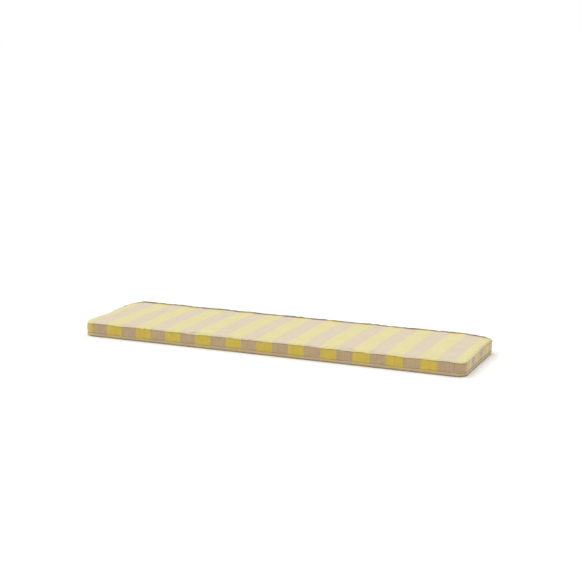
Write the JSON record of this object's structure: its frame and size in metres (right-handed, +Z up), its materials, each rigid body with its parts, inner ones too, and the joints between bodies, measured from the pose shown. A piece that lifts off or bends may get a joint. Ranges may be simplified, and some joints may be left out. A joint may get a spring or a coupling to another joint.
{
  "type": "bench cushion",
  "caption": "Long, flat box-edge bench cushion with rounded corners, a low crown and a lipped back seam, in equal-width striped cloth running from front to back.",
  "frame": {"origin": "on the surface that the cushion lies on, under the middle of its outline", "axes": "+X along the cushion's length, to the right seen from the front; +Y to its back; +Z up"},
  "size_m": [1.4986, 0.4192, 0.0626],
  "materials": {
    "boxing_cloth": "matt woven furnishing cloth in equal yellow and beige stripes, upright on the boxing",
    "panel_cloth": "matt woven furnishing cloth in equal yellow and beige stripes that run from front to back"
  },
  "bodies": {
    "root": {"boxed_body": "boxing_cloth", "top_panel": "panel_cloth", "bottom_panel": "panel_cloth"}
  },
  "joints": []
}
